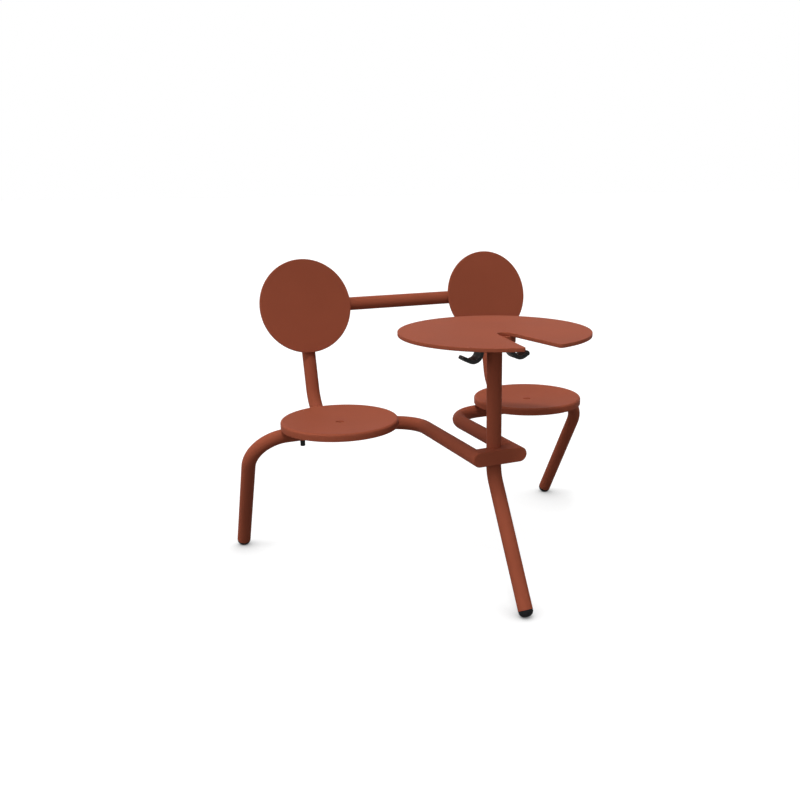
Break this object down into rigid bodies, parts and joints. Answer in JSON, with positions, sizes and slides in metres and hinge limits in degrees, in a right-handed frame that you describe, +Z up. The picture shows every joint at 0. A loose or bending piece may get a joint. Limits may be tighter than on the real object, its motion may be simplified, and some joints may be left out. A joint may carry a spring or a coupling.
{
  "type": "garden bench with table",
  "caption": "Garden bench of bent steel tube with round dished seats, round backrests and a shared round table, notched at the front and with bag hooks beneath.",
  "frame": {"origin": "on the floor, under the middle of the outline", "axes": "+X to the right as seen from the table's side, +Y to the rear from the table towards the backrests, +Z up"},
  "size_m": [1.203, 0.9928, 0.9117],
  "materials": {
    "powder_coat": "matt terracotta powder coat",
    "black_plastic": "fine-grained black",
    "black_rubber": "matt black",
    "zinc_steel": "zinc plated"
  },
  "bodies": {
    "root": {"left_seat_tube": "powder_coat", "right_seat_tube": "powder_coat", "backrest_tube": "powder_coat", "table_post": "powder_coat", "coupling_block": "powder_coat", "coupling_bolts": "zinc_steel", "left_seat": "powder_coat", "right_seat": "powder_coat", "left_seat_rib": "powder_coat", "right_seat_rib": "powder_coat", "left_seat_saddles": "black_plastic", "right_seat_saddles": "black_plastic", "seat_studs": "zinc_steel", "seat_nuts": "zinc_steel", "seat_nut_caps": "black_plastic", "left_backrest": "powder_coat", "right_backrest": "powder_coat", "left_backrest_saddles": "black_plastic", "right_backrest_saddles": "black_plastic", "backrest_studs": "zinc_steel", "backrest_nuts": "zinc_steel", "backrest_nut_caps": "black_plastic", "tabletop": "powder_coat", "table_flange": "powder_coat", "table_screws": "zinc_steel", "left_bag_hook": "black_plastic", "right_bag_hook": "black_plastic", "hook_screws": "zinc_steel", "front_foot": "black_rubber", "left_foot": "black_rubber", "right_foot": "black_rubber"}
  },
  "joints": []
}
